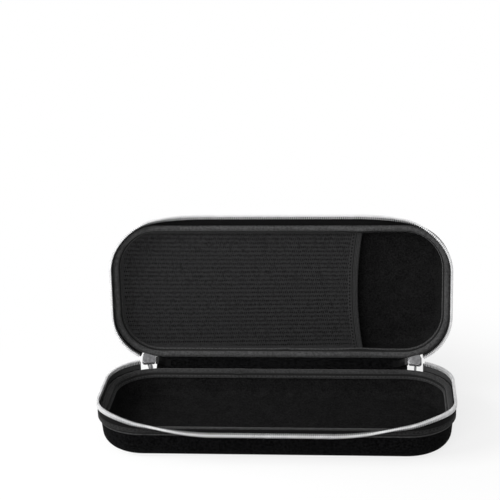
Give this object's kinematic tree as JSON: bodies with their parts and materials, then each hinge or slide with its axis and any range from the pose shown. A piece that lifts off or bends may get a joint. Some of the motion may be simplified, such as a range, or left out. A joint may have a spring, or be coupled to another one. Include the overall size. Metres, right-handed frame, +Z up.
{
  "type": "stethoscope hard case",
  "caption": "Semi-hard zipped case for a stethoscope: rounded moulded tray and lid on a fabric spine, mesh pocket in the lid, webbing handle.",
  "frame": {"origin": "centre of the tray's flat underside, on the surface it stands on", "axes": "+X along the case, towards the pocket's open end; -Y towards the front, away from the spine; +Z up"},
  "size_m": [0.286, 0.1629, 0.1581],
  "materials": {
    "shell_fabric": "black woven fabric over moulded foam",
    "lining": "smooth black knitted lining",
    "binding": "dark grey ribbed binding tape",
    "zip_tape": "black woven zip tape",
    "zip_teeth": "bright silver zip teeth",
    "slider_metal": "polished slider and pull",
    "webbing": "black webbing",
    "mesh": "black stretch mesh",
    "elastic": "black elastic tape"
  },
  "bodies": {
    "tray": {"tray_shell": "shell_fabric", "tray_lining": "lining", "tray_binding": "binding", "tray_zip_tape": "zip_tape", "tray_side_teeth": "zip_teeth"},
    "lid": {"lid_shell": "shell_fabric", "lid_lining": "lining", "lid_binding": "binding", "lid_zip_tape": "zip_tape", "lid_side_teeth": "zip_teeth", "mesh_pocket": "mesh", "pocket_tape": "elastic"},
    "tray_zip_front": {"tray_front_tape": "zip_tape", "tray_front_teeth": "zip_teeth"},
    "lid_zip_front": {"lid_front_tape": "zip_tape", "lid_front_teeth": "zip_teeth"},
    "spine": {"spine_panel": "shell_fabric", "spine_tabs": "shell_fabric", "zip_stops": "slider_metal", "zip_tails": "zip_tape", "left_slider": "slider_metal", "right_slider": "slider_metal", "handle_anchors": "webbing"},
    "handle": {"left_handle_leg": "webbing", "right_handle_leg": "webbing", "handle_grip": "webbing"},
    "left_pull": {"left_pull": "slider_metal"},
    "right_pull": {"right_pull": "slider_metal"}
  },
  "joints": [
    {"name": "lid_hinge", "type": "hinge", "parent": "tray", "child": "lid", "pos_m": [0, 0.057, 0.035], "axis": [1, 0, 0], "range_deg": [0, 94], "deforming": ["spine_panel"]},
    {"name": "spine_fold", "type": "hinge", "parent": "tray", "child": "spine", "pos_m": [0, 0.057, 0.035], "axis": [1, 0, 0], "range_deg": [0, 47]},
    {"name": "tray_zip_fold", "type": "hinge", "parent": "tray", "child": "tray_zip_front", "pos_m": [0, -0.0584, 0.027], "axis": [1, 0, 0], "range_deg": [-105, 0]},
    {"name": "lid_zip_fold", "type": "hinge", "parent": "lid", "child": "lid_zip_front", "pos_m": [0, 0.07303, 0.14956], "axis": [1, 0, 0], "range_deg": [0, 90]},
    {"name": "handle_swing", "type": "hinge", "parent": "spine", "child": "handle", "pos_m": [0, 0.0646, 0.02685], "axis": [1, 0, 0], "range_deg": [-50.8, 37.2]},
    {"name": "left_pull_swing", "type": "hinge", "parent": "spine", "child": "left_pull", "pos_m": [-0.1129, 0.05964, 0.03216], "axis": [0, 0.7314, 0.682], "range_deg": [-48, 75]},
    {"name": "right_pull_swing", "type": "hinge", "parent": "spine", "child": "right_pull", "pos_m": [0.1129, 0.05964, 0.03216], "axis": [0, 0.7314, 0.682], "range_deg": [-75, 48]}
  ],
  "couplings": [
    {"joint": "spine_fold", "follows": "lid_hinge", "ratio": 0.5},
    {"joint": "tray_zip_fold", "follows": "lid_hinge", "ratio": -1.117},
    {"joint": "lid_zip_fold", "follows": "lid_hinge", "ratio": 0.95744}
  ]
}
